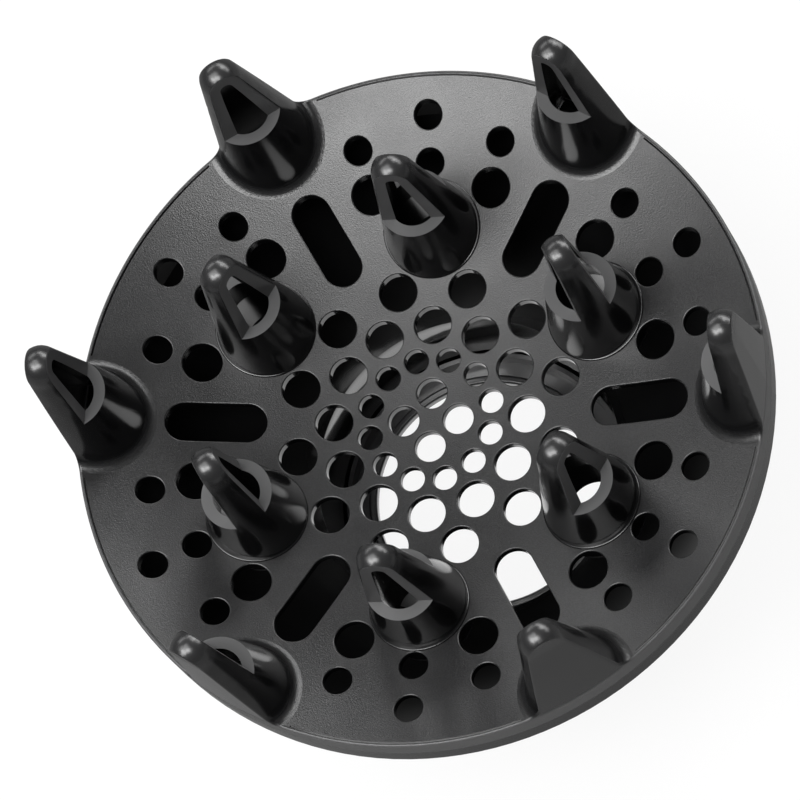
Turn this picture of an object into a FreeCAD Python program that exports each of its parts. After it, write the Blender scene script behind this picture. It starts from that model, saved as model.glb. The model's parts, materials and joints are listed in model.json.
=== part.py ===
import FreeCAD, Part
import math
import os
from FreeCAD import Vector

os.makedirs("parts", exist_ok=True)

# A round finger diffuser for a hair dryer, in millimetres.
# The origin is the centre of the rear end, +Z runs along the axis to the finger tips.
# The dished front plate carries twelve hollow fingers: six at the edge are moulded with
# it, six inner ones are clipped in. The plate twists off the funnel behind it, and a
# twist-lock collar at the rear holds the rubber ring that grips the dryer's nozzle.

# Running gaps
GAP = 0.3                    # between faces of pieces that turn against each other
FIT = 0.1                    # between pieces that are pushed together and stay put

# Front plate
RIM_RADIUS = 74.0            # outside of the skirt, at its bottom
PLATE_HEIGHT = 60.0          # front face on the axis, above the rear end
DISH_RADIUS = 200.0          # the front face is a shallow spherical dish
PLATE_WALL = 2.0
SKIRT_DEPTH = 10.0           # from the top of the rim to the bottom of the skirt
SKIRT_WALL = 1.6
OUTSIDE_DRAFT = 1.5          # degrees by which the skirt and the edge fingers' flush faces lean in
EDGE_ROUND = 0.5             # rounding of the rim and of the edge fingers' flush outer faces
GROOVE_INSET = 1.2           # from the rim to the middle of the fine groove inside it
GROOVE_WIDTH = 0.4
GROOVE_DEPTH = 0.35
GROOVE_END_GAP = 0.5         # from the groove's end to an edge finger's fillet

# Air holes round the axis: ring radius, hole radius, first azimuth in degrees, number of holes
HOLE_RINGS = (
    (5.9, 3.3, 0, 4),
    (13.5, 2.6, 15, 12),
    (20.9, 4.0, 0, 12),
    (29.2, 4.05, 15, 12),
)
# Air holes near the rim, the same but with the ring's distance in from the rim
RIM_HOLE_RINGS = (
    (23.2, 4.15, 15, 12),
    (18.8, 3.0, 30, 6),
    (13.6, 3.0, 15, 12),
    (9.0, 3.0, 30, 6),
)
SLOT_START = 35.1            # inner end of each radial slot
SLOT_INSET = 17.7            # from the rim in to its outer end
SLOT_WIDTH = 8.4
HOLE_ROUND = 0.25            # rounding of the holes' and slots' front edges

# Fingers
FINGER_COUNT = 6             # in each of the two rings
INNER_RING = 41.4            # radius on which the inner fingers stand
OUTER_INSET = 3.6            # from the rim in to the ring of the edge fingers
INNER_AZIMUTH = 30.0         # of the first inner finger
OUTER_AZIMUTH = 0.0
FINGER_BASE = 10.2           # radius at the plate
FINGER_TIP = 4.4             # radius of the round tip
FINGER_HEIGHT = 38.2         # from the plate to the top of the tip
FINGER_WALL = 3.2            # at the plate
TIP_WALL = 1.4               # at the hollow's round end
FINGER_BLEND = 2.8           # fillet between an edge finger and the plate
FINGER_ROOF = 2.0            # solid length between the tip and the hollow
SILL_HEIGHT = 15.6           # of the level sills, above the plate
ARCH_SILL_THICKNESS = 7.0    # above its sills a finger is a flat arch: its thickness there
ARCH_TIP_THICKNESS = 4.8     # and at the tip
ARCH_ROUND = 0.4             # rounding of the arch's long edges

# How an inner finger is fixed
FOOT_OVERHANG = 0.45         # thin foot round the base
FOOT_THICKNESS = 0.45
FOOT_ROUND = 0.3             # rounding of its outer edge
SPIGOT_INSET = 1.8           # from the finger's base radius in to the tube through the plate
SPIGOT_WALL = 2.0
BOSS_WALL = 1.9              # ring behind the plate round each spigot
BOSS_DROP = 5.0              # from the plate's front at the finger to the boss's end
LOCK_THICKNESS = 1.2         # split ring that holds the spigot
LOCK_GROOVE = 0.7            # depth of its groove in the spigot
LOCK_OPENING = 70.0          # degrees left out of the split ring
SPIGOT_END = 1.1             # what is left of the spigot behind the lock ring
KEY_WIDTH = 2.4              # key that sets a finger's windows square to the axis
KEY_DEPTH = 1.0

# Rear shell
SHELL_WALL = 2.0
LIP_WALL = 1.7               # upright lip inside the skirt
LIP_RISE = 4.6               # of the lip above the bottom of the skirt
SEAM = 0.4                   # open joint between skirt and shell
BOWL_BULGE = 3.6             # how far the funnel bows out
NECK_TOP = 26.5              # height where the funnel runs into the neck
NECK_ROOM = 7.3              # from the grip on the nozzle out to the neck's rear end, inside
NECK_DRAFT = 1.0             # how much wider the neck is at its top, inside
NECK_WALL = 1.6              # at the top of the neck
SHOULDER_INSET = 0.5         # shell under the skirt, in from the rim

# Seal between skirt and shell
SEAL_INSET = 1.1             # from the rim to the seal
SEAL_WIDTH = 1.4
SEAL_THICKNESS = 0.8
SEAL_PROUD = 0.3             # part of the thickness that stands out of its groove

# Twist locks: lugs on both pieces pass under each other
LUG_COUNT = 3
LUG_SPAN = 18.0              # degrees along the circle
LUG_HEIGHT = 1.6
LUG_DEPTH = 1.6              # out from the wall that carries the lug
LUG_GAP = 0.3                # between the lugs' faces
FRONT_LUG_AZIMUTH = 30.0
COLLAR_LUG_AZIMUTH = 0.0
STOP_SPAN = 3.0              # degrees taken by the stop beside each shell lug
STOP_CLEARANCE = 0.6         # degrees left before the stop when locked

# Collar and rubber ring
COLLAR_HEIGHT = 9.5
COLLAR_WALL = 1.8
COLLAR_FLOOR = 1.8
COLLAR_LEDGE = 3.0           # how far the floor reaches in past the neck
COLLAR_ROUND = 0.6
COLLAR_FLUTES = 30
FLUTE_RADIUS = 1.3
FLUTE_DEPTH = 0.5
LIP_RADIUS = 25.7            # grip of the rubber ring on the nozzle
LIP_LAND = 2.0               # straight length of the grip
LIP_THICKNESS = 1.9
LIP_ROUND = 0.6
RING_TOP = 7.3               # height of the rubber ring's lips
RING_OUTER_LIP = 1.0
RING_GROOVE_FLOOR = 3.4
RING_BASE = 0.6              # lowest point of the lead-in
FLANGE_THICKNESS = 1.5
LEAD_IN = 2.7                # how much wider than the grip the ring's mouth is

# Values that follow from the sizes above
AXIS = Vector(0, 0, 1)
ORIGIN = Vector(0, 0, 0)
RIM_TOP = PLATE_HEIGHT + DISH_RADIUS - math.sqrt(DISH_RADIUS ** 2 - RIM_RADIUS ** 2)
REACH = RIM_RADIUS + 2 * FINGER_BASE
OUTER_RING = RIM_RADIUS - OUTER_INSET
SLOT_END = RIM_RADIUS - SLOT_INSET
SPIGOT_RADIUS = FINGER_BASE - SPIGOT_INSET
SPIGOT_BORE = SPIGOT_RADIUS - SPIGOT_WALL
CUT_LENGTH = RIM_TOP + FINGER_HEIGHT + FINGER_BASE
SKIRT_BOTTOM = RIM_TOP - SKIRT_DEPTH
SKIRT_INNER = RIM_RADIUS - SKIRT_WALL
LIP_OUTER = SKIRT_INNER - LUG_DEPTH - GAP
LIP_INNER = LIP_OUTER - LIP_WALL
SHOULDER = SKIRT_BOTTOM - SEAM
SHELL_RADIUS = RIM_RADIUS - SHOULDER_INSET
NECK_RADIUS = LIP_RADIUS + NECK_ROOM
NECK_TOP_RADIUS = NECK_RADIUS + NECK_DRAFT
NECK_OUTER = NECK_TOP_RADIUS + NECK_WALL
NECK_END = COLLAR_FLOOR + FLANGE_THICKNESS + GAP
COLLAR_OPENING = NECK_RADIUS - COLLAR_LEDGE
COLLAR_INNER = NECK_OUTER + LUG_DEPTH + GAP
COLLAR_RADIUS = COLLAR_INNER + COLLAR_WALL


def dish_height(radius):
    """Height of the plate's front face at a distance from the axis."""
    return PLATE_HEIGHT + DISH_RADIUS - math.sqrt(DISH_RADIUS ** 2 - radius ** 2)


def dish_ball(depth):
    """Ball whose underside is the dish, lowered by depth; its seam lies well above the part."""
    centre = Vector(0, 0, PLATE_HEIGHT + DISH_RADIUS)
    ball = Part.makeSphere(DISH_RADIUS + depth, centre)
    ball.rotate(centre, Vector(1, 0, 0), 90)
    return ball


def turned(edges):
    """Solid of revolution about Z from the edges of a closed outline."""
    return Part.Face(Part.Wire(edges)).revolve(ORIGIN, AXIS, 360)


def line(start, end):
    """Straight edge between two (radius, height) points."""
    return Part.LineSegment(Vector(start[0], 0, start[1]), Vector(end[0], 0, end[1])).toShape()


def bowed(start, end, bulge):
    """Arc between two (radius, height) points that bows out by bulge, away from the axis."""
    length = math.hypot(end[0] - start[0], end[1] - start[1])
    radius = (start[0] + end[0]) / 2 + bulge * abs(end[1] - start[1]) / length
    height = (start[1] + end[1]) / 2 - bulge * abs(end[0] - start[0]) / length
    middle = Vector(radius, 0, height)
    return Part.Arc(Vector(start[0], 0, start[1]), middle, Vector(end[0], 0, end[1])).toShape()


def turned_polygon(points):
    """Solid of revolution about Z from a closed outline of (radius, height) points."""
    ends = points[1:] + points[:1]
    return turned([line(start, end) for start, end in zip(points, ends)])


def ring(inner, outer, bottom, top):
    """Plain ring about Z."""
    return turned_polygon([(inner, bottom), (outer, bottom), (outer, top), (inner, top)])


def wedge(middle, span):
    """Prism that covers span degrees about an azimuth, for a span under 180 degrees."""
    corners = [ORIGIN]
    for azimuth in (middle - span / 2, middle, middle + span / 2):
        angle = math.radians(azimuth)
        corners.append(Vector(3 * REACH * math.cos(angle), 3 * REACH * math.sin(angle), 0))
    return Part.Face(Part.makePolygon(corners + corners[:1])).extrude(AXIS * CUT_LENGTH)


def around(shape, azimuth):
    """Copy of a shape turned about the axis."""
    copy = shape.copy()
    copy.rotate(ORIGIN, AXIS, azimuth)
    return copy


def spread(shape, count, first):
    """Copies of a shape evenly spaced about the axis."""
    return [around(shape, first + 360.0 / count * number) for number in range(count)]


def round_edges(body, radius, places):
    """Fillet the full circles at the given (radius, height) places."""
    chosen = []
    for edge in body.Edges:
        circle = edge.Curve
        if not isinstance(circle, Part.Circle):
            continue
        if any(math.hypot(circle.Radius - at[0], circle.Center.z - at[1]) < 0.01 for at in places):
            chosen.append(edge)
    return body.makeFillet(radius, chosen)


# Fingers, drawn about Z with the plate's front face at height 0

def rounded_cone(base_radius, tip_radius, top, bottom):
    """Cone with a ball tip; base_radius is its radius at height 0."""
    ball_height = top - tip_radius
    slope = (base_radius - tip_radius) / ball_height
    tilt = math.atan(slope)
    tangent = (tip_radius * math.cos(tilt), ball_height + tip_radius * math.sin(tilt))
    halfway = (math.pi / 2 + tilt) / 2
    crown = Vector(tip_radius * math.cos(halfway), 0, ball_height + tip_radius * math.sin(halfway))
    start = tangent[0] + (tangent[1] - bottom) * slope
    tip_arc = Part.Arc(Vector(tangent[0], 0, tangent[1]), crown, Vector(0, 0, top)).toShape()
    return turned([
        line((0, bottom), (start, bottom)),
        line((start, bottom), tangent),
        tip_arc,
        line((0, top), (0, bottom)),
    ])


def finger_cone():
    """Outside of a finger, carried down past the plate's front face."""
    return rounded_cone(FINGER_BASE, FINGER_TIP, FINGER_HEIGHT, -FINGER_BASE / 2)


def finger_hollow():
    """Inside of a finger: a cone of its own, closed under the tip."""
    top = FINGER_HEIGHT - FINGER_ROOF
    return rounded_cone(FINGER_BASE - FINGER_WALL, FINGER_TIP - TIP_WALL, top, -2 * FINGER_BASE)


def arch_cutter(direction):
    """Block that flattens a finger above its sill, on the +X or the -X side."""
    rise = FINGER_HEIGHT - SILL_HEIGHT
    lean = (ARCH_SILL_THICKNESS - ARCH_TIP_THICKNESS) / 2 / rise
    top = FINGER_HEIGHT + FINGER_TIP
    near_sill = ARCH_SILL_THICKNESS / 2
    near_top = near_sill - lean * (top - SILL_HEIGHT)
    far = 2 * FINGER_BASE
    outline = [(near_sill, SILL_HEIGHT), (far, SILL_HEIGHT), (far, top), (near_top, top)]
    corners = [Vector(direction * across, -far, height) for across, height in outline]
    face = Part.Face(Part.makePolygon(corners + corners[:1]))
    return face.extrude(Vector(0, 2 * far, 0))


def arch_edges(body, ring_radius):
    """Long edges of the arch, where its flat sides meet the cone and the round tip."""
    above = dish_height(ring_radius) + SILL_HEIGHT + ARCH_ROUND
    found = []
    for edge in body.Edges:
        kinds = [face.Surface.TypeId for face in body.ancestorsOfType(edge, Part.Face)]
        rounded = "Part::GeomCone" in kinds or "Part::GeomSphere" in kinds
        if "Part::GeomPlane" in kinds and rounded and edge.CenterOfMass.z > above:
            found.append(edge)
    return found


def stand(shape, ring_radius):
    """Move a finger's shape out to its ring, onto the dish."""
    shape.translate(Vector(ring_radius, 0, dish_height(ring_radius)))
    return shape


# Front plate

def outside_radius(height):
    """Radius of the drafted outside of the skirt and the edge fingers."""
    return RIM_RADIUS - (height - SKIRT_BOTTOM) * math.tan(math.radians(OUTSIDE_DRAFT))


def outside_cone(wall):
    """Solid inside the drafted outside, moved in by a wall."""
    return Part.makeCone(outside_radius(0) - wall, outside_radius(CUT_LENGTH) - wall, CUT_LENGTH)


def blended_plate():
    """Disc and edge fingers with a broad fillet between them, still wider than the rim."""
    disc = Part.makeCylinder(REACH, dish_height(REACH) + 1)
    disc = disc.common(dish_ball(PLATE_WALL)).cut(dish_ball(0))
    finger = stand(finger_cone(), OUTER_RING).common(dish_ball(PLATE_WALL / 2))
    body = disc.fuse(spread(finger, FINGER_COUNT, OUTER_AZIMUTH)).removeSplitter()
    return body.makeFillet(FINGER_BLEND, finger_foot_edges(body))


def finger_foot_edges(body):
    """Edges where the edge fingers meet the plate's front face."""
    found = []
    for edge in body.Edges:
        kinds = [face.Surface.TypeId for face in body.ancestorsOfType(edge, Part.Face)]
        if "Part::GeomCone" in kinds and "Part::GeomSphere" in kinds:
            middle = edge.valueAt((edge.FirstParameter + edge.LastParameter) / 2)
            if middle.z < dish_height(math.hypot(middle.x, middle.y)) + GAP:
                found.append(edge)
    return found


def rim_edges(body):
    """Sharp edges that the trim left along the front of the drafted outside."""
    found = []
    for edge in body.Edges:
        length = edge.LastParameter - edge.FirstParameter
        points = [edge.valueAt(edge.FirstParameter + share * length) for share in (0.1, 0.5, 0.9)]
        on_rim = all(abs(math.hypot(point.x, point.y) - outside_radius(point.z)) < 0.01 for point in points)
        if on_rim and all(point.z > RIM_TOP - PLATE_WALL / 4 for point in points):
            found.append(edge)
    return found


def rim_groove():
    """Fine groove just inside the rim, between two edge fingers."""
    middle = RIM_RADIUS - GROOVE_INSET
    band = ring(middle - GROOVE_WIDTH / 2, middle + GROOVE_WIDTH / 2,
                dish_height(middle) - GROOVE_DEPTH, RIM_TOP + GROOVE_WIDTH)
    taken = math.asin((FINGER_BASE + FINGER_BLEND + GROOVE_END_GAP) / middle)
    span = 360.0 / FINGER_COUNT - 2 * math.degrees(taken)
    return band.common(wedge(OUTER_AZIMUTH + 180.0 / FINGER_COUNT, span))


def finger_boss():
    """Ring behind the plate round an inner finger's spigot."""
    base = Vector(INNER_RING, 0, dish_height(INNER_RING) - BOSS_DROP)
    boss = Part.makeCylinder(SPIGOT_RADIUS + FIT + BOSS_WALL, BOSS_DROP + FINGER_BASE, base)
    return boss.cut(dish_ball(PLATE_WALL / 2))


def finger_socket():
    """Hole for an inner finger's spigot and key."""
    hole = Part.makeCylinder(SPIGOT_RADIUS + FIT, CUT_LENGTH, Vector(INNER_RING, 0, 0))
    return hole.fuse(key_block(FIT, CUT_LENGTH))


def key_block(clearance, length):
    """Block for the key on the outboard side of a spigot, at azimuth 0, from height 0 up."""
    width = KEY_WIDTH + 2 * clearance
    block = Part.makeBox(SPIGOT_RADIUS + KEY_DEPTH + clearance, width, length)
    block.translate(Vector(INNER_RING, -width / 2, 0))
    return block


def edge_finger_hollow():
    """Hollow of the edge finger at azimuth 0; the outer wall closes it."""
    return stand(finger_hollow(), OUTER_RING).common(outside_cone(SKIRT_WALL))


def slot_cutter():
    """Cutter for the radial slot at azimuth 0."""
    half = SLOT_WIDTH / 2
    body = Part.makeBox(SLOT_END - SLOT_START - SLOT_WIDTH, SLOT_WIDTH, CUT_LENGTH)
    body.translate(Vector(SLOT_START + half, -half, 0))
    near = Part.makeCylinder(half, CUT_LENGTH, Vector(SLOT_START + half, 0, 0))
    far = Part.makeCylinder(half, CUT_LENGTH, Vector(SLOT_END - half, 0, 0))
    return body.fuse([near, far]).removeSplitter()


def opening_cutters():
    """All air holes and slots of the plate."""
    cutters = spread(slot_cutter(), FINGER_COUNT, OUTER_AZIMUTH)
    from_rim = [(RIM_RADIUS - inset, *others) for inset, *others in RIM_HOLE_RINGS]
    for ring_radius, hole_radius, first, count in [*HOLE_RINGS, *from_rim]:
        hole = Part.makeCylinder(hole_radius, CUT_LENGTH, Vector(ring_radius, 0, 0))
        cutters += spread(hole, count, first)
    return cutters


def on_dish(edge):
    """Whether an edge lies in the plate's front face."""
    length = edge.LastParameter - edge.FirstParameter
    points = [edge.valueAt(edge.FirstParameter + share * length) for share in (0.1, 0.5, 0.9)]
    return all(abs(point.z - dish_height(math.hypot(point.x, point.y))) < 0.01 for point in points)


def opening_edges(body):
    """Front edges of the air holes and slots, apart from the sockets and the fingers."""
    walls = ("Part::GeomCylinder", "Part::GeomPlane")
    found = []
    for edge in body.Edges:
        kinds = [face.Surface.TypeId for face in body.ancestorsOfType(edge, Part.Face)]
        if "Part::GeomSphere" in kinds and any(kind in walls for kind in kinds) and on_dish(edge):
            found.append(edge)
    return found


def front_lug():
    """Lug inside the skirt; it passes under the rear shell's lug."""
    bottom = SKIRT_BOTTOM + LUG_GAP
    band = ring(SKIRT_INNER - LUG_DEPTH, SKIRT_INNER + SKIRT_WALL / 2, bottom, bottom + LUG_HEIGHT)
    return band.common(wedge(FRONT_LUG_AZIMUTH, LUG_SPAN))


def front_plate():
    """The front moulding: dished plate, edge fingers, skirt, bosses and twist-lock lugs."""
    skirt = ring(SKIRT_INNER, RIM_RADIUS + SKIRT_WALL, SKIRT_BOTTOM, RIM_TOP - PLATE_WALL / 2)
    body = blended_plate().fuse(skirt).removeSplitter().common(outside_cone(0))
    body = body.makeFillet(EDGE_ROUND, rim_edges(body))
    body = body.cut(spread(stand(arch_cutter(-1), OUTER_RING), FINGER_COUNT, OUTER_AZIMUTH))
    body = body.makeFillet(ARCH_ROUND, arch_edges(body, OUTER_RING))
    body = body.fuse(spread(finger_boss(), FINGER_COUNT, INNER_AZIMUTH))
    body = body.fuse(spread(front_lug(), LUG_COUNT, 0))
    body = body.cut(opening_cutters())
    body = body.makeFillet(HOLE_ROUND, opening_edges(body))
    cutters = spread(finger_socket(), FINGER_COUNT, INNER_AZIMUTH)
    cutters += spread(edge_finger_hollow(), FINGER_COUNT, OUTER_AZIMUTH)
    cutters += spread(rim_groove(), FINGER_COUNT, 0)
    return body.cut(cutters)


# Inner fingers and what holds them

def finger_foot():
    """Thin foot on the plate round an inner finger, with a rounded outer edge."""
    foot = Part.makeCylinder(FINGER_BASE + FOOT_OVERHANG, CUT_LENGTH, Vector(INNER_RING, 0, 0))
    foot = foot.common(dish_ball(0)).cut(dish_ball(-FOOT_THICKNESS))
    rims = []
    for edge in foot.Edges:
        kinds = [face.Surface.TypeId for face in foot.ancestorsOfType(edge, Part.Face)]
        if "Part::GeomSphere" in kinds and "Part::GeomCylinder" in kinds:
            rims.append(edge)
    return foot.makeFillet(FOOT_ROUND, [max(rims, key=lambda rim: rim.CenterOfMass.z)])


def inner_finger():
    """Clip-in finger at azimuth 0: hollow cone with a flat arch on top, foot, spigot and key."""
    boss_end = dish_height(INNER_RING) - BOSS_DROP
    spigot_bottom = boss_end - LOCK_THICKNESS - SPIGOT_END
    cone = stand(finger_cone(), INNER_RING).common(dish_ball(0))
    cone = cone.cut([stand(arch_cutter(side), INNER_RING) for side in (1, -1)])
    cone = cone.makeFillet(ARCH_ROUND, arch_edges(cone, INNER_RING))
    spigot_length = dish_height(INNER_RING) + FINGER_BASE / 2 - spigot_bottom
    spigot = Part.makeCylinder(SPIGOT_RADIUS, spigot_length, Vector(INNER_RING, 0, spigot_bottom))
    key = key_block(0, dish_height(INNER_RING) - boss_end)
    key.translate(Vector(0, 0, boss_end))
    body = cone.fuse([finger_foot(), spigot, key]).removeSplitter()
    bore = Part.makeCylinder(SPIGOT_BORE, CUT_LENGTH, Vector(0, 0, -2 * FINGER_BASE))
    inside = stand(finger_hollow().common(bore), INNER_RING)
    return body.cut([inside, lock_groove()])


def lock_groove():
    """Groove near the spigot's end for the lock ring."""
    boss_end = dish_height(INNER_RING) - BOSS_DROP
    groove = ring(SPIGOT_RADIUS - LOCK_GROOVE, SPIGOT_RADIUS + KEY_DEPTH + GAP,
                  boss_end - LOCK_THICKNESS, boss_end)
    groove.translate(Vector(INNER_RING, 0, 0))
    return groove


def lock_ring():
    """Split ring at azimuth 0 that snaps into the groove, against the boss."""
    boss_end = dish_height(INNER_RING) - BOSS_DROP
    body = ring(SPIGOT_RADIUS - LOCK_GROOVE, SPIGOT_RADIUS + BOSS_WALL,
                boss_end - LOCK_THICKNESS, boss_end)
    body = body.cut(wedge(180, LOCK_OPENING))
    body.translate(Vector(INNER_RING, 0, 0))
    return body


# Rear shell and seal

def shell_bowl():
    """Turned body of the shell: upright lip, bowed funnel and neck."""
    lip_top = SKIRT_BOTTOM + LIP_RISE
    funnel_top = (LIP_INNER, SHOULDER - SHELL_WALL)
    neck_top = (NECK_TOP_RADIUS, NECK_TOP)
    shoulder = (SHELL_RADIUS, SHOULDER)
    neck_outside = (NECK_OUTER, NECK_TOP - SHELL_WALL)
    return turned([
        line((LIP_INNER, lip_top), (LIP_OUTER, lip_top)),
        line((LIP_OUTER, lip_top), (LIP_OUTER, SHOULDER)),
        line((LIP_OUTER, SHOULDER), shoulder),
        bowed(shoulder, neck_outside, BOWL_BULGE),
        line(neck_outside, (NECK_OUTER, NECK_END)),
        line((NECK_OUTER, NECK_END), (NECK_RADIUS, NECK_END)),
        line((NECK_RADIUS, NECK_END), neck_top),
        bowed(neck_top, funnel_top, BOWL_BULGE),
        line(funnel_top, (LIP_INNER, lip_top)),
    ])


def lug_and_stop(inner, outer, bottom, stop_bottom, azimuth, lock_side):
    """Lug with the stop that ends the locking twist on its lock side, +1 or -1."""
    lug = ring(inner, outer, bottom, bottom + LUG_HEIGHT).common(wedge(azimuth, LUG_SPAN))
    stop_middle = azimuth + lock_side * (LUG_SPAN / 2 + STOP_CLEARANCE + STOP_SPAN / 2)
    stop_span = STOP_SPAN + 2 * STOP_CLEARANCE
    stop = ring(inner, outer, stop_bottom, bottom + LUG_HEIGHT)
    stop = stop.common(wedge(stop_middle, STOP_SPAN))
    bridge = ring(inner, outer, bottom, bottom + LUG_HEIGHT)
    bridge = bridge.common(wedge(stop_middle - lock_side * STOP_CLEARANCE, stop_span))
    return lug.fuse([stop, bridge]).removeSplitter()


def seal_groove_bottom():
    """Height of the floor of the seal's groove."""
    return SHOULDER - SEAL_THICKNESS + SEAL_PROUD


def rear_shell():
    """Funnel with neck, twist-lock lugs at both ends and the seal's groove."""
    rim_lug_bottom = SKIRT_BOTTOM + 2 * LUG_GAP + LUG_HEIGHT
    rim_lug = lug_and_stop(LIP_OUTER - LIP_WALL / 2, SKIRT_INNER - GAP, rim_lug_bottom,
                           SHOULDER - SHELL_WALL / 2, FRONT_LUG_AZIMUTH, -1)
    neck_lug_bottom = COLLAR_HEIGHT - 2 * LUG_HEIGHT - LUG_GAP
    neck_lug = lug_and_stop(NECK_OUTER - NECK_WALL / 2, COLLAR_INNER - GAP, neck_lug_bottom,
                            neck_lug_bottom, COLLAR_LUG_AZIMUTH, 1)
    body = shell_bowl().fuse(spread(rim_lug, LUG_COUNT, 0) + spread(neck_lug, LUG_COUNT, 0))
    outer = RIM_RADIUS - SEAL_INSET
    groove = ring(outer - SEAL_WIDTH, outer, seal_groove_bottom(), SKIRT_BOTTOM)
    return body.cut(groove)


def rim_seal():
    """Flat rubber ring in the shell's shoulder, under the skirt."""
    outer = RIM_RADIUS - SEAL_INSET
    bottom = seal_groove_bottom()
    return ring(outer - SEAL_WIDTH, outer, bottom, bottom + SEAL_THICKNESS)


# Collar and rubber ring

def collar_lug():
    """Lug inside the collar; it passes over the neck's lug."""
    bottom = COLLAR_HEIGHT - LUG_HEIGHT
    band = ring(COLLAR_INNER - LUG_DEPTH, COLLAR_INNER + COLLAR_WALL / 2, bottom, COLLAR_HEIGHT)
    return band.common(wedge(COLLAR_LUG_AZIMUTH, LUG_SPAN))


def neck_collar():
    """Fluted collar that turns on the neck and carries the rubber ring."""
    body = turned_polygon([
        (COLLAR_OPENING, 0),
        (COLLAR_RADIUS, 0),
        (COLLAR_RADIUS, COLLAR_HEIGHT),
        (COLLAR_INNER, COLLAR_HEIGHT),
        (COLLAR_INNER, COLLAR_FLOOR),
        (COLLAR_OPENING, COLLAR_FLOOR),
    ])
    body = round_edges(body, COLLAR_ROUND, [(COLLAR_RADIUS, 0), (COLLAR_RADIUS, COLLAR_HEIGHT)])
    body = body.fuse(spread(collar_lug(), LUG_COUNT, 0))
    flute_centre = Vector(COLLAR_RADIUS + FLUTE_RADIUS - FLUTE_DEPTH, 0, 0)
    flute = Part.makeCylinder(FLUTE_RADIUS, COLLAR_HEIGHT, flute_centre)
    return body.cut(spread(flute, COLLAR_FLUTES, 0))


def grip_ring():
    """Rubber ring of U section: the inner lip stretches over the dryer's nozzle."""
    lip_outer = LIP_RADIUS + LIP_THICKNESS
    wall_outer = NECK_RADIUS - GAP
    wall_inner = wall_outer - RING_OUTER_LIP
    flange_top = COLLAR_FLOOR + FLANGE_THICKNESS
    flange_outer = COLLAR_INNER - FIT
    base_outer = COLLAR_OPENING - FIT
    body = turned_polygon([
        (LIP_RADIUS + LEAD_IN, RING_BASE),
        (base_outer, RING_BASE),
        (base_outer, COLLAR_FLOOR),
        (flange_outer, COLLAR_FLOOR),
        (flange_outer, flange_top),
        (wall_outer, flange_top),
        (wall_outer, RING_TOP),
        (wall_inner, RING_TOP),
        (wall_inner, RING_GROOVE_FLOOR),
        (lip_outer, RING_GROOVE_FLOOR),
        (lip_outer, RING_TOP),
        (LIP_RADIUS, RING_TOP),
        (LIP_RADIUS, RING_TOP - LIP_LAND),
    ])
    body = round_edges(body, LIP_ROUND, [(lip_outer, RING_TOP), (LIP_RADIUS, RING_TOP)])
    return body


def write(name, shape):
    """Save one node."""
    shape.exportStep("parts/" + name + ".step")


write("front_plate", front_plate())
finger = inner_finger()
for number, placed in enumerate(spread(finger, FINGER_COUNT, INNER_AZIMUTH)):
    write("inner_finger_" + str(number + 1), placed)
write("finger_lock_rings", Part.makeCompound(spread(lock_ring(), FINGER_COUNT, INNER_AZIMUTH)))
write("rear_shell", rear_shell())
write("rim_seal", rim_seal())
write("neck_collar", neck_collar())
write("grip_ring", grip_ring())
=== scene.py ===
import json
import math

import bpy
from mathutils import Matrix, Vector


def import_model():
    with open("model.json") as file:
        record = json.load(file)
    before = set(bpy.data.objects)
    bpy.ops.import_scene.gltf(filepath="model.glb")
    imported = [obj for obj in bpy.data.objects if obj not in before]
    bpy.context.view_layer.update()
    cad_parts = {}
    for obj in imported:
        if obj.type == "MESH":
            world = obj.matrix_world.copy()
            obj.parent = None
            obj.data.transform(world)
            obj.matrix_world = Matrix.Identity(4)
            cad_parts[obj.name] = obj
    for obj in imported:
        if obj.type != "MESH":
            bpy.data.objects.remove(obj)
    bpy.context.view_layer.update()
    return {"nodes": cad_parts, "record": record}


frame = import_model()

# A round finger diffuser for a hair dryer, all in black mouldings.
# Lengths are in metres and angles in degrees, unless a name or a comment says otherwise.

# Camera, aimed at the middle of the dished plate from above its front edge
CAMERA_AIM = Vector((-0.0059, 0.0035, 0.0638))
CAMERA_AZIMUTH = 38.55
CAMERA_ELEVATION = 66.59
CAMERA_ROLL = -38.98
CAMERA_DISTANCE = 0.842
CAMERA_LENS = 180.2          # millimetres, as the sensor's width is
SENSOR_WIDTH = 36.0

# Lamps: name, direction from the plate, distance, width, height, brightness of the face
LAMPS = (
    ("overhead_softbox", (-0.33, -0.18, 0.93), 1.4, 1.04, 1.26, 3.8),
    ("key_softbox", (-0.39, -0.38, 0.84), 1.3, 0.57, 0.31, 9.0),
    ("front_softbox", (0.00, -0.30, 0.95), 1.3, 0.60, 0.36, 9.0),
    ("back_softbox", (0.33, 0.76, 0.56), 1.5, 1.80, 0.36, 6.3),
    ("far_softbox", (-0.56, 0.60, 0.57), 1.6, 1.00, 0.38, 3.2),
    ("small_softbox", (0.29, 0.66, 0.70), 1.5, 0.40, 0.30, 7.5),
)
WORLD_STRENGTH = 0.05        # of the light that the surroundings throw on the object
WHITE_STRENGTH = 1.0         # at which floor and surroundings show as white

# Floor
FLOOR_WIDTH = 6.0
FLOOR_DROP = 0.0003          # keeps the floor clear of the collar's flat end
FLOOR_GREY = 0.9
FLOOR_ROUGH = 0.9
FLOOR_GLOW = 0.9             # share of its own light that the floor shows to the camera
FLOOR_NEAR_GLOSS = 1.0       # brightness that gloss and glass see in the floor under the neck
FLOOR_FAR_GLOSS = 0.27       # and away from the object
FLOOR_GLOSS_NEAR = 0.03      # radii between which it fades
FLOOR_GLOSS_FAR = 0.06

# Dished plate, as the frame has it: a shallow piece of a sphere that is centred above the plate
DISH_RADIUS = 0.2
DISH_CENTRE_HEIGHT = 0.26
SKIN_START = 0.0004          # above the plate, where the fingers' polish starts
SKIN_END = 0.0018            # and where it is full
HOLE_START = -0.0002         # below it, where the smooth walls of the holes start
HOLE_END = -0.0004           # and where they are full

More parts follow.
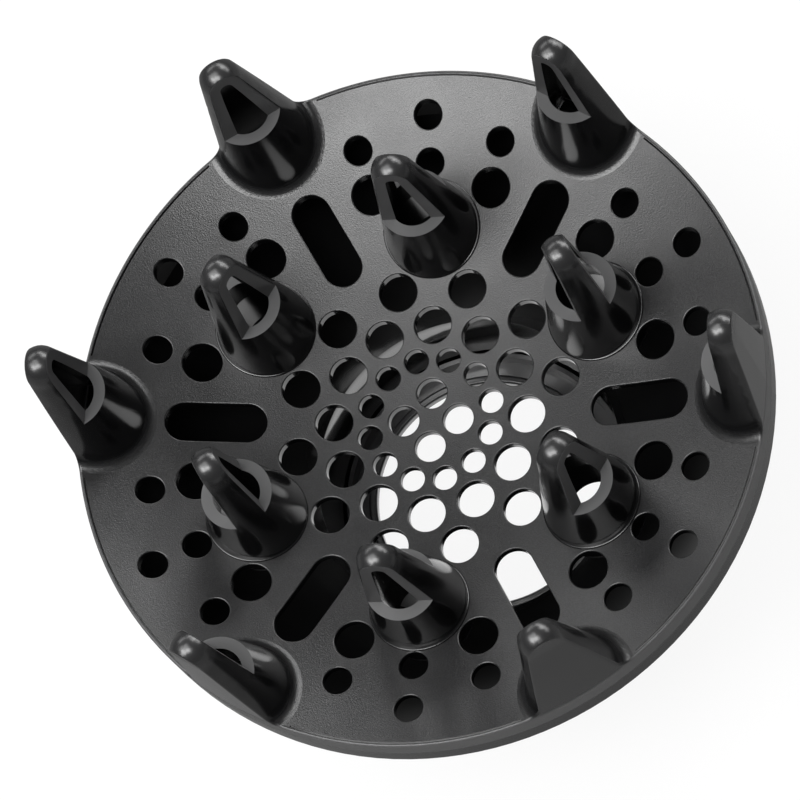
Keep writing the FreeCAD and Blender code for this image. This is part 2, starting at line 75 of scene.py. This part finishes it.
# Fingers, as the frame has them
FINGER_TURN = math.radians(60)
INNER_RING = 0.0414          # radii of the two rings of fingers
EDGE_RING = 0.0704
INNER_FIRST_TURN = FINGER_TURN / 2
EDGE_FIRST_TURN = 0.0
INNER_SILL = 0.0799          # heights of the window sills
EDGE_SILL = 0.0884
INNER_TIP = 0.1025           # heights of the tips
EDGE_TIP = 0.111
TIP_START = 0.0070           # below the tip, where its painted sheen starts
TIP_END = 0.0045             # and where it is full
ARCH_HALF = 0.0035           # from a finger's middle to its arch's flat face, at the sill
ARCH_LEAN = 0.0487           # how fast that face leans in above the sill
ARCH_FOOT = 0.0001           # height above the sill at which that face begins
ARCH_REACH = 0.00008         # how near to the arch's face counts as on it
SILL_REACH = 0.0003          # how near to the sill's height counts as on it
LEVEL_NORMAL = 0.98          # least upward part of a level face's normal

# Rim and funnel, as the frame has them
BAND_INNER = 0.0733          # satin band round the rim, painted pale as a painted highlight: its least radius
BAND_BOTTOM = 0.0690         # and its lower and upper edges
BAND_TOP = 0.0740
BAND_FADE = 0.0006           # half the height over which an edge fades
NECK_TOP = 0.0265            # height where the funnel runs into the neck
NECK_FADE = 0.002            # half the height over which the neck's gloss fades out

# Plastics
PLASTIC_IOR = 1.585          # polycarbonate
SATIN_IOR = 1.3              # the funnel's duller skin
NOISE_LOW = 0.3              # between which a noise mostly stays
NOISE_HIGH = 0.7

# Grained plastic of the front moulding: colours, roughness, cells to the metre and depths
PLATE_DARK = (0.005, 0.005, 0.0053)
PLATE_PALE = (0.016, 0.016, 0.0165)
POLISHED_BLACK = (0.004, 0.004, 0.0043)
# Tips: a paler grey, a painted sheen, and a little rougher
TIP_SHEEN_GREY = (0.02, 0.02, 0.0205)
# Rim band: satin, painted pale grey as a painted highlight
BAND_HIGHLIGHT_GREY = (0.085, 0.085, 0.0855)
# Sills and arches: a rougher cut face, painted paler grey as painted light
SILL_LIGHT_GREY = (0.05, 0.05, 0.051)
PLATE_ROUGH = (0.29, 0.33)
POLISHED_ROUGH = 0.19
HOLE_ROUGH = 0.13
TIP_ROUGH = 0.27
BAND_ROUGH = 0.5
SILL_ROUGH = 0.45
PLATE_MOTTLE = 90.0
PLATE_GRAIN = 3400.0
PLATE_SPECKLE = 3800.0
GRAIN_LOW = 0.35             # part of the grain's noise that runs from dark to pale
GRAIN_HIGH = 0.65
GRAIN_STRENGTH = 0.6
SMOOTH_STRENGTH = 0.03       # of the grain on polished skin and in the holes
GRAIN_DEPTH = 0.00005
SPECKLE_DEPTH = 0.00003

# Glossy plastic of the clip-in fingers
FINGER_DARK = (0.003, 0.003, 0.0032)
FINGER_PALE = (0.006, 0.006, 0.0063)
FINGER_ROUGH = (0.18, 0.22)
FINGER_CLOUD = 160.0
FINGER_FINE = 1800.0
WAVE_STRENGTH = 0.05
WAVE_DEPTH = 0.0004
FINGER_FINE_DEPTH = 0.00004
FINE_STRENGTH = 0.03         # of the faint relief on smooth mouldings

# Funnel and neck
# Faces that look towards the axis: darker than outside, a painted shade
FUNNEL_SHADE_DARK = (0.003, 0.003, 0.0032)
FUNNEL_SHADE_PALE = (0.005, 0.005, 0.0053)
OUTSIDE_DARK = (0.012, 0.012, 0.0125)
OUTSIDE_PALE = (0.018, 0.018, 0.0185)
FUNNEL_ROUGH = (0.28, 0.34)
NECK_ROUGH = 0.1
FUNNEL_CLOUD = 70.0
FUNNEL_FINE = 2200.0
FUNNEL_DEPTH = 0.0003
FUNNEL_FINE_DEPTH = 0.00003
OUTSIDE_COAT = 0.5           # weight of the gloss outside the funnel
NECK_COAT_ROUGH = 0.05
NECK_COAT_IOR = 2.0

# Twist collar
COLLAR_DARK = (0.015, 0.015, 0.016)
COLLAR_PALE = (0.024, 0.024, 0.025)
COLLAR_ROUGH = (0.46, 0.56)
COLLAR_CLOUD = 120.0
COLLAR_GRAIN = 1500.0
COLLAR_STRENGTH = 0.4
COLLAR_DEPTH = 0.00006

# Rubber rings
RUBBER_DARK = (0.020, 0.020, 0.021)
RUBBER_PALE = (0.034, 0.034, 0.035)
RUBBER_ROUGH = (0.28, 0.4)
RUBBER_BLOOM = 240.0
RUBBER_FINE = 3000.0
RUBBER_COAT = 0.8
RUBBER_COAT_ROUGH = 0.12
RUBBER_STRENGTH = 0.15
RUBBER_DEPTH = 0.00004

# Lock rings
ACETAL_DARK = (0.03, 0.03, 0.031)
ACETAL_PALE = (0.045, 0.045, 0.046)
ACETAL_ROUGH = (0.35, 0.45)
ACETAL_CLOUD = 400.0
ACETAL_STRENGTH = 0.05
ACETAL_DEPTH = 0.0001


# Node helpers

def start_material(name):
    """New material with its node tree and its shader."""
    material = bpy.data.materials.new(name)
    material.use_nodes = True
    tree = material.node_tree
    return material, tree, tree.nodes["Principled BSDF"]


def feed(tree, value, socket):
    """Link another node's output to a socket, or set the socket to a plain value."""
    if isinstance(value, bpy.types.NodeSocket):
        tree.links.new(value, socket)
    else:
        socket.default_value = value


def math_node(tree, operation, first, second=0.0, third=0.0):
    """Math node; each input is a number or another node's output."""
    node = tree.nodes.new("ShaderNodeMath")
    node.operation = operation
    for socket, value in zip(node.inputs, (first, second, third)):
        feed(tree, value, socket)
    return node.outputs[0]


def object_coordinates(tree):
    """Object coordinates, which are the frame's own on every piece."""
    return tree.nodes.new("ShaderNodeTexCoord").outputs["Object"]


def true_normal(tree):
    """The surface's own normal, without any relief."""
    return tree.nodes.new("ShaderNodeNewGeometry").outputs["True Normal"]


def along_axes(tree, vector):
    """X, Y and Z of a place or a direction."""
    parts = tree.nodes.new("ShaderNodeSeparateXYZ")
    tree.links.new(vector, parts.inputs[0])
    return parts.outputs["X"], parts.outputs["Y"], parts.outputs["Z"]


def squared_radius(tree, x, y):
    """Square of a place's distance from the diffuser's axis."""
    return math_node(tree, "ADD", math_node(tree, "POWER", x, 2.0), math_node(tree, "POWER", y, 2.0))


def noise(tree, place, scale, detail=2.0, roughness=0.5):
    """Value of a noise texture of so many cells to the metre."""
    node = tree.nodes.new("ShaderNodeTexNoise")
    node.inputs["Scale"].default_value = scale
    node.inputs["Detail"].default_value = detail
    node.inputs["Roughness"].default_value = roughness
    tree.links.new(place, node.inputs["Vector"])
    return node.outputs["Fac"]


def pits(tree, place, scale):
    """Distance to the nearest of many scattered points: small round pits."""
    node = tree.nodes.new("ShaderNodeTexVoronoi")
    node.inputs["Scale"].default_value = scale
    tree.links.new(place, node.inputs["Vector"])
    return node.outputs["Distance"]


def spread_value(tree, value, low, high, out_low=0.0, out_high=1.0):
    """Value mapped from one range onto another, clamped, with soft ends."""
    node = tree.nodes.new("ShaderNodeMapRange")
    node.interpolation_type = "SMOOTHSTEP"
    node.inputs["From Min"].default_value = low
    node.inputs["From Max"].default_value = high
    node.inputs["To Min"].default_value = out_low
    node.inputs["To Max"].default_value = out_high
    tree.links.new(value, node.inputs["Value"])
    return node.outputs["Result"]


def spread_noise(tree, value, span):
    """Noise spread from where it mostly stays onto a lowest and a highest number."""
    return spread_value(tree, value, NOISE_LOW, NOISE_HIGH, *span)


def blend_colour(tree, share, first, second):
    """Colour between two others, each written out or another node's, by a share from 0 to 1."""
    node = tree.nodes.new("ShaderNodeMix")
    node.data_type = "RGBA"
    sockets = [socket for socket in node.inputs if socket.type == "RGBA"]
    for socket, value in zip(sockets, (first, second)):
        feed(tree, (*value, 1) if isinstance(value, tuple) else value, socket)
    tree.links.new(share, node.inputs["Factor"])
    return next(socket for socket in node.outputs if socket.type == "RGBA")


def blend_value(tree, share, first, second):
    """Number between two others by a share from 0 to 1."""
    node = tree.nodes.new("ShaderNodeMix")
    feed(tree, first, node.inputs["A"])
    feed(tree, second, node.inputs["B"])
    tree.links.new(share, node.inputs["Factor"])
    return node.outputs["Result"]


def paint(tree, shader, colour, rough, layers=()):
    """Colour and roughness, under layers of (share, colour, roughness), the last on top."""
    for share, layer_colour, layer_rough in layers:
        colour = blend_colour(tree, share, colour, layer_colour)
        rough = blend_value(tree, share, rough, layer_rough)
    tree.links.new(colour, shader.inputs["Base Color"])
    tree.links.new(rough, shader.inputs["Roughness"])


def relief(tree, shader, layers):
    """Bump nodes in a chain, one for each (height, strength, depth) layer."""
    normal = None
    for height, strength, depth in layers:
        bump = tree.nodes.new("ShaderNodeBump")
        bump.inputs["Distance"].default_value = depth
        feed(tree, strength, bump.inputs["Strength"])
        tree.links.new(height, bump.inputs["Height"])
        if normal:
            tree.links.new(normal, bump.inputs["Normal"])
        normal = bump.outputs["Normal"]
    tree.links.new(normal, shader.inputs["Normal"])


# Places of the finishes and of the painted light: all but the first give a share, 1 on their own faces and
# 0 elsewhere

def above_dish(tree, place):
    """Height of a place above the dished front face: z - centre + sqrt(radius^2 - x^2 - y^2)."""
    x, y, z = along_axes(tree, place)
    across = squared_radius(tree, x, y)
    drop = math_node(tree, "SQRT", math_node(tree, "SUBTRACT", DISH_RADIUS ** 2, across))
    return math_node(tree, "ADD", z, math_node(tree, "SUBTRACT", drop, DISH_CENTRE_HEIGHT))


def sill_share(tree, place, height):
    """Level faces at a window sill's height."""
    level = math_node(tree, "GREATER_THAN", along_axes(tree, true_normal(tree))[2], LEVEL_NORMAL)
    near = math_node(tree, "COMPARE", along_axes(tree, place)[2], height, SILL_REACH)
    return math_node(tree, "MULTIPLY", level, near)


def arch_share(tree, place, ring_radius, first_turn, sill):
    """Flat faces of the arches on one ring of fingers.

    A place is turned back by its finger's azimuth, so that its distance out from the ring
    can be compared with the distance at which the arch's leaning face lies at its height.
    """
    x, y, z = along_axes(tree, place)
    turn = math_node(tree, "SUBTRACT", math_node(tree, "ARCTAN2", y, x), first_turn)
    nearest = math_node(tree, "SNAP", math_node(tree, "ADD", turn, FINGER_TURN / 2), FINGER_TURN)
    off = math_node(tree, "SUBTRACT", turn, nearest)
    radius = math_node(tree, "SQRT", squared_radius(tree, x, y))
    out = math_node(tree, "MULTIPLY", radius, math_node(tree, "COSINE", off))
    across = math_node(tree, "ABSOLUTE", math_node(tree, "SUBTRACT", out, ring_radius))
    rise = math_node(tree, "SUBTRACT", z, sill)
    face = math_node(tree, "ADD", across, math_node(tree, "MULTIPLY", rise, ARCH_LEAN))
    on_face = math_node(tree, "COMPARE", face, ARCH_HALF, ARCH_REACH)
    return math_node(tree, "MULTIPLY", on_face, math_node(tree, "GREATER_THAN", rise, ARCH_FOOT))


def window_light_share(tree, place, ring_radius, first_turn, sill):
    """Sills and arches of the windows on one ring of fingers, painted paler as painted light on a rougher
    cut face.
    """
    return math_node(tree, "MAXIMUM", sill_share(tree, place, sill),
                     arch_share(tree, place, ring_radius, first_turn, sill))


def tip_sheen_share(tree, place, height):
    """Round tips of fingers of one height, which get a painted sheen, fading in just below."""
    return spread_value(tree, along_axes(tree, place)[2], height - TIP_START, height - TIP_END)


def rim_band_highlight_share(tree, place):
    """Satin band round the outside of the rim, painted pale as a painted highlight."""
    x, y, z = along_axes(tree, place)
    outside = math_node(tree, "GREATER_THAN", squared_radius(tree, x, y), BAND_INNER ** 2)
    lower = spread_value(tree, z, BAND_BOTTOM - BAND_FADE, BAND_BOTTOM + BAND_FADE)
    upper = spread_value(tree, z, BAND_TOP - BAND_FADE, BAND_TOP + BAND_FADE, 1.0, 0.0)
    return math_node(tree, "MULTIPLY", outside, math_node(tree, "MULTIPLY", lower, upper))


def outward_share(tree, place):
    """Faces that look away from the axis."""
    level = tree.nodes.new("ShaderNodeVectorMath")
    level.operation = "MULTIPLY"
    tree.links.new(true_normal(tree), level.inputs[0])
    level.inputs[1].default_value = (1, 1, 0)
    facing = tree.nodes.new("ShaderNodeVectorMath")
    facing.operation = "DOT_PRODUCT"
    tree.links.new(level.outputs["Vector"], facing.inputs[0])
    tree.links.new(place, facing.inputs[1])
    return math_node(tree, "GREATER_THAN", facing.outputs["Value"], 0.0)


# Finishes

def grained_plastic():
    """Front moulding: spark-eroded grain on the plate, polished fingers, tips painted paler as a painted
    sheen, sills and arches painted paler as painted light on a rougher cut face, a pale painted highlight
    on a satin band round the rim, and smooth holes.
    """
    material, tree, shader = start_material("grained_plastic")
    place = object_coordinates(tree)
    above = above_dish(tree, place)
    polished = spread_value(tree, above, SKIN_START, SKIN_END)
    inside = spread_value(tree, above, HOLE_END, HOLE_START, 1.0, 0.0)
    # Tips get a painted sheen: a paler grey, a little rougher
    tip_sheen = tip_sheen_share(tree, place, EDGE_TIP)
    # The rim's satin band is painted pale as a painted highlight
    band_highlight = rim_band_highlight_share(tree, place)
    # Sills and arches are painted paler as painted light, and are rougher
    window_light = window_light_share(tree, place, EDGE_RING, EDGE_FIRST_TURN, EDGE_SILL)
    mottle = noise(tree, place, PLATE_MOTTLE, detail=3.0)
    grain = noise(tree, place, PLATE_GRAIN, roughness=0.6)
    speckle = pits(tree, place, PLATE_SPECKLE)
    plate = blend_colour(tree, spread_value(tree, grain, GRAIN_LOW, GRAIN_HIGH), PLATE_DARK, PLATE_PALE)
    paint(tree, shader, plate, spread_noise(tree, mottle, PLATE_ROUGH), (
        (polished, POLISHED_BLACK, POLISHED_ROUGH),
        (inside, POLISHED_BLACK, HOLE_ROUGH),
        (tip_sheen, TIP_SHEEN_GREY, TIP_ROUGH),
        (band_highlight, BAND_HIGHLIGHT_GREY, BAND_ROUGH),
        (window_light, SILL_LIGHT_GREY, SILL_ROUGH),
    ))
    shader.inputs["IOR"].default_value = PLASTIC_IOR
    smooth = math_node(tree, "MAXIMUM", polished, inside)
    strength = blend_value(tree, smooth, GRAIN_STRENGTH, SMOOTH_STRENGTH)
    relief(tree, shader, ((grain, strength, GRAIN_DEPTH), (speckle, strength, SPECKLE_DEPTH)))
    return material


def glossy_plastic():
    """Clip-in fingers: smooth, with the faint waviness of a moulding; tips painted paler as a painted
    sheen, and sills and arches painted paler as painted light on a rougher cut face.
    """
    material, tree, shader = start_material("glossy_plastic")
    place = object_coordinates(tree)
    # Sills and arches are painted paler as painted light, and are rougher
    window_light = window_light_share(tree, place, INNER_RING, INNER_FIRST_TURN, INNER_SILL)
    cloud = noise(tree, place, FINGER_CLOUD)
    fine = noise(tree, place, FINGER_FINE)
    # Tips get a painted sheen: a paler grey, a little rougher
    tip_sheen = tip_sheen_share(tree, place, INNER_TIP)
    skin = blend_colour(tree, cloud, FINGER_DARK, FINGER_PALE)
    paint(tree, shader, skin, spread_noise(tree, cloud, FINGER_ROUGH), (
        (tip_sheen, TIP_SHEEN_GREY, TIP_ROUGH),
        (window_light, SILL_LIGHT_GREY, SILL_ROUGH),
    ))
    shader.inputs["IOR"].default_value = PLASTIC_IOR
    relief(tree, shader, ((cloud, WAVE_STRENGTH, WAVE_DEPTH), (fine, FINE_STRENGTH, FINGER_FINE_DEPTH)))
    return material


def shell_plastic():
    """Funnel and neck: gloss black outside and in the neck, satin inside the funnel, where painted shade
    darkens the faces that look towards the axis.
    """
    material, tree, shader = start_material("shell_plastic")
    place = object_coordinates(tree)
    cloud = noise(tree, place, FUNNEL_CLOUD, detail=3.0)
    fine = noise(tree, place, FUNNEL_FINE)
    outside = outward_share(tree, place)
    # Faces that look towards the axis are darker: painted shade
    inner_shade = blend_colour(tree, cloud, FUNNEL_SHADE_DARK, FUNNEL_SHADE_PALE)
    outer = blend_colour(tree, cloud, OUTSIDE_DARK, OUTSIDE_PALE)
    height = along_axes(tree, place)[2]
    neck = spread_value(tree, height, NECK_TOP - NECK_FADE, NECK_TOP + NECK_FADE, 1.0, 0.0)
    rough = blend_value(tree, neck, spread_noise(tree, cloud, FUNNEL_ROUGH), NECK_ROUGH)
    paint(tree, shader, blend_colour(tree, outside, inner_shade, outer), rough)
    tree.links.new(blend_value(tree, outside, neck, OUTSIDE_COAT), shader.inputs["Coat Weight"])
    shader.inputs["IOR"].default_value = SATIN_IOR
    shader.inputs["Coat Roughness"].default_value = NECK_COAT_ROUGH
    shader.inputs["Coat IOR"].default_value = NECK_COAT_IOR
    relief(tree, shader, ((cloud, FINE_STRENGTH, FUNNEL_DEPTH), (fine, FINE_STRENGTH, FUNNEL_FINE_DEPTH)))
    return material


def collar_plastic():
    """Twist collar: matte black, a coarser grain than the plate's."""
    material, tree, shader = start_material("collar_plastic")
    place = object_coordinates(tree)
    cloud = noise(tree, place, COLLAR_CLOUD)
    grain = noise(tree, place, COLLAR_GRAIN, detail=3.0, roughness=0.6)
    paint(tree, shader, blend_colour(tree, cloud, COLLAR_DARK, COLLAR_PALE),
          spread_noise(tree, cloud, COLLAR_ROUGH))
    relief(tree, shader, ((grain, COLLAR_STRENGTH, COLLAR_DEPTH),))
    return material


def rubber():
    """Silicone rubber: black, with a soft gloss and a dusty bloom."""
    material, tree, shader = start_material("rubber")
    place = object_coordinates(tree)
    bloom = noise(tree, place, RUBBER_BLOOM, detail=4.0)
    fine = noise(tree, place, RUBBER_FINE)
    paint(tree, shader, blend_colour(tree, bloom, RUBBER_DARK, RUBBER_PALE),
          spread_noise(tree, bloom, RUBBER_ROUGH))
    shader.inputs["Coat Weight"].default_value = RUBBER_COAT
    shader.inputs["Coat Roughness"].default_value = RUBBER_COAT_ROUGH
    relief(tree, shader, ((fine, RUBBER_STRENGTH, RUBBER_DEPTH),))
    return material


def acetal():
    """Lock rings: waxy black."""
    material, tree, shader = start_material("acetal")
    place = object_coordinates(tree)
    cloud = noise(tree, place, ACETAL_CLOUD)
    paint(tree, shader, blend_colour(tree, cloud, ACETAL_DARK, ACETAL_PALE),
          spread_noise(tree, cloud, ACETAL_ROUGH))
    relief(tree, shader, ((cloud, ACETAL_STRENGTH, ACETAL_DEPTH),))
    return material


def finish_nodes():
    """Give each CAD node the finish that the record names for it."""
    makers = {
        "grained_plastic": grained_plastic,
        "glossy_plastic": glossy_plastic,
        "shell_plastic": shell_plastic,
        "collar_plastic": collar_plastic,
        "rubber": rubber,
        "acetal": acetal,
    }
    finishes = {name: maker() for name, maker in makers.items()}
    for part in frame["record"]["subparts"]:
        node = frame["nodes"][part["node"]]
        for held in node.material_slots:
            held.material = finishes[part["material_slot"]]


# Stage, lamps and camera

def mixed_shader(tree, share, first, second):
    """One shader that turns into another by a share from 0 to 1."""
    mix = tree.nodes.new("ShaderNodeMixShader")
    tree.links.new(share, mix.inputs["Fac"])
    tree.links.new(first, mix.inputs[1])
    tree.links.new(second, mix.inputs[2])
    return mix.outputs[0]


def floor_brightness(tree, bounced):
    """Strength of the floor's glow: white to the camera, fading outwards to gloss and glass."""
    away = tree.nodes.new("ShaderNodeVectorMath")
    away.operation = "LENGTH"
    tree.links.new(object_coordinates(tree), away.inputs[0])
    mirrored = spread_value(tree, away.outputs["Value"], FLOOR_GLOSS_NEAR, FLOOR_GLOSS_FAR,
                            FLOOR_NEAR_GLOSS, FLOOR_FAR_GLOSS)
    return blend_value(tree, bounced, WHITE_STRENGTH, mirrored)


def floor():
    """White floor that keeps a faint shadow and can't be seen from below.

    The camera sees it nearly white. Gloss and glass see white under the neck, less further out.
    """
    half = FLOOR_WIDTH / 2
    flat_corners = ((-half, -half), (half, -half), (half, half), (-half, half))
    mesh = bpy.data.meshes.new("floor")
    mesh.from_pydata([(x, y, -FLOOR_DROP) for x, y in flat_corners], [], [(0, 1, 2, 3)])
    piece = bpy.data.objects.new("floor", mesh)
    bpy.context.scene.collection.objects.link(piece)
    material, tree, shader = start_material("floor_paint")
    shader.inputs["Base Color"].default_value = (FLOOR_GREY, FLOOR_GREY, FLOOR_GREY, 1)
    shader.inputs["Roughness"].default_value = FLOOR_ROUGH
    rays = tree.nodes.new("ShaderNodeLightPath")
    bounced = math_node(tree, "MAXIMUM", rays.outputs["Is Glossy Ray"], rays.outputs["Is Transmission Ray"])
    glow = tree.nodes.new("ShaderNodeEmission")
    tree.links.new(floor_brightness(tree, bounced), glow.inputs["Strength"])
    to_camera = math_node(tree, "MULTIPLY", rays.outputs["Is Camera Ray"], FLOOR_GLOW)
    glowing = math_node(tree, "MAXIMUM", to_camera, bounced)
    top = mixed_shader(tree, glowing, shader.outputs[0], glow.outputs[0])
    below = tree.nodes.new("ShaderNodeNewGeometry").outputs["Backfacing"]
    clear = tree.nodes.new("ShaderNodeBsdfTransparent")
    tree.links.new(mixed_shader(tree, below, top, clear.outputs[0]),
                   tree.nodes["Material Output"].inputs["Surface"])
    mesh.materials.append(material)


def world():
    """Even dark surroundings that show white to the camera and through glass."""
    surroundings = bpy.data.worlds.new("studio")
    bpy.context.scene.world = surroundings
    surroundings.use_nodes = True
    tree = surroundings.node_tree
    rays = tree.nodes.new("ShaderNodeLightPath")
    seen = math_node(tree, "MAXIMUM", rays.outputs["Is Camera Ray"], rays.outputs["Is Transmission Ray"])
    background = tree.nodes["Background"]
    background.inputs["Color"].default_value = (1, 1, 1, 1)
    tree.links.new(blend_value(tree, seen, WORLD_STRENGTH, WHITE_STRENGTH), background.inputs["Strength"])


def lamps():
    """Soft boxes that face the plate; a face's brightness times pi times its area is its power."""
    for name, direction, distance, width, height, brightness in LAMPS:
        data = bpy.data.lights.new(name, "AREA")
        data.shape = "RECTANGLE"
        data.size = width
        data.size_y = height
        data.energy = brightness * math.pi * width * height
        lamp = bpy.data.objects.new(name, data)
        away = Vector(direction).normalized()
        lamp.location = CAMERA_AIM + away * distance
        lamp.rotation_euler = away.to_track_quat("Z", "Y").to_euler()
        bpy.context.scene.collection.objects.link(lamp)


def camera():
    """Camera on its azimuth and elevation, rolled about its own axis."""
    turn = math.radians(CAMERA_AZIMUTH)
    lift = math.radians(CAMERA_ELEVATION)
    roll = math.radians(CAMERA_ROLL)
    back = Vector((math.sin(turn) * math.cos(lift), -math.cos(turn) * math.cos(lift), math.sin(lift)))
    level = Vector((math.cos(turn), math.sin(turn), 0))
    right = level * math.cos(roll) + back.cross(level) * math.sin(roll)
    up = back.cross(right)
    data = bpy.data.cameras.new("camera")
    data.lens = CAMERA_LENS
    data.sensor_width = SENSOR_WIDTH
    eye = bpy.data.objects.new("camera", data)
    facing = Matrix((right, up, back)).transposed().to_4x4()
    eye.matrix_world = Matrix.Translation(CAMERA_AIM + back * CAMERA_DISTANCE) @ facing
    bpy.context.scene.collection.objects.link(eye)
    bpy.context.scene.camera = eye


finish_nodes()
floor()
world()
lamps()
camera()
bpy.context.scene.view_settings.view_transform = "Standard"
